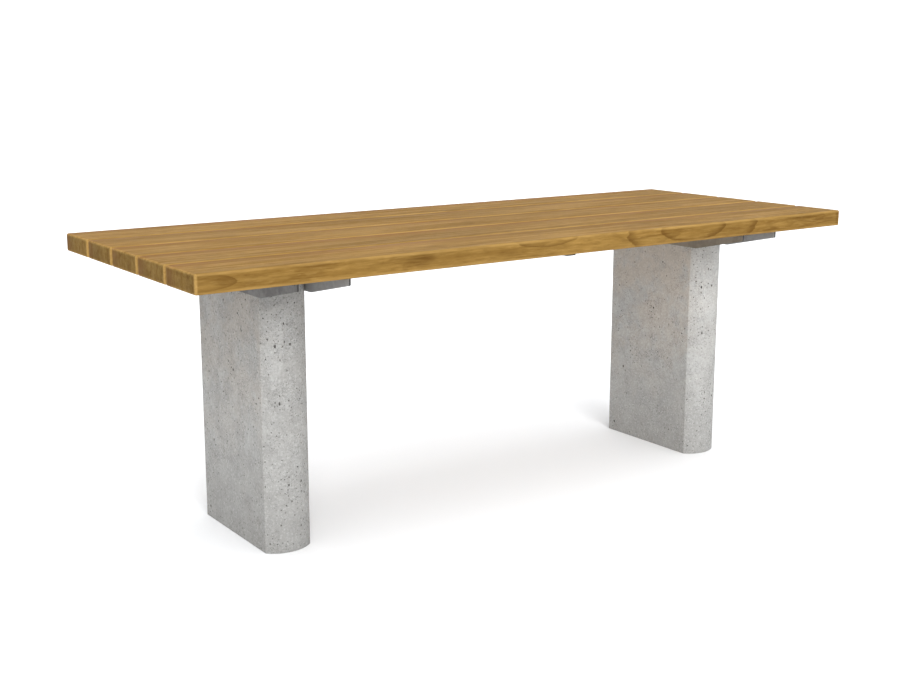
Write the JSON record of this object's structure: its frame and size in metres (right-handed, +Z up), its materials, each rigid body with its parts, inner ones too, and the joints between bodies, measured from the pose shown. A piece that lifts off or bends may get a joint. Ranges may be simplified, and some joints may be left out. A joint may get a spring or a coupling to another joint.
{
  "type": "outdoor table",
  "caption": "Outdoor table for streets and parks: long eased timber planks on flat cast concrete legs with rounded ends, clamped by tapered folded steel brackets.",
  "frame": {"origin": "on the ground, under the middle of the table", "axes": "+X along the planks to the right, +Y to the back, +Z up"},
  "size_m": [2, 0.778, 0.724],
  "materials": {
    "oiled_timber": "honey brown oiled softwood planks, satin, with a clear grain",
    "concrete": "light grey cast concrete, smooth and matt, with small pores",
    "bracket_steel": "satin grey galvanised steel",
    "zinc_steel": "zinc plated steel",
    "rubber_pad": "black rubber sheet",
    "reinforcement": "plain reinforcing steel"
  },
  "bodies": {
    "root": {"plank_front": "oiled_timber", "plank_front_inner": "oiled_timber", "plank_middle": "oiled_timber", "plank_back_inner": "oiled_timber", "plank_back": "oiled_timber", "middle_batten": "bracket_steel", "middle_batten_screws": "zinc_steel", "left_concrete_leg": "concrete", "left_reinforcing_bars": "reinforcement", "left_reinforcing_links": "reinforcement", "left_floor_sockets": "zinc_steel", "left_clamp_sleeves": "zinc_steel", "left_top_pad": "rubber_pad", "left_outer_side_pad": "rubber_pad", "left_inner_side_pad": "rubber_pad", "left_outer_bracket": "bracket_steel", "left_inner_bracket": "bracket_steel", "left_bolt_washers": "zinc_steel", "left_clamp_bolts": "zinc_steel", "left_cap_nuts": "zinc_steel", "left_outer_bracket_screws": "zinc_steel", "left_inner_bracket_screws": "zinc_steel", "right_concrete_leg": "concrete", "right_reinforcing_bars": "reinforcement", "right_reinforcing_links": "reinforcement", "right_floor_sockets": "zinc_steel", "right_clamp_sleeves": "zinc_steel", "right_top_pad": "rubber_pad", "right_outer_side_pad": "rubber_pad", "right_inner_side_pad": "rubber_pad", "right_outer_bracket": "bracket_steel", "right_inner_bracket": "bracket_steel", "right_bolt_washers": "zinc_steel", "right_clamp_bolts": "zinc_steel", "right_cap_nuts": "zinc_steel", "right_outer_bracket_screws": "zinc_steel", "right_inner_bracket_screws": "zinc_steel"}
  },
  "joints": []
}
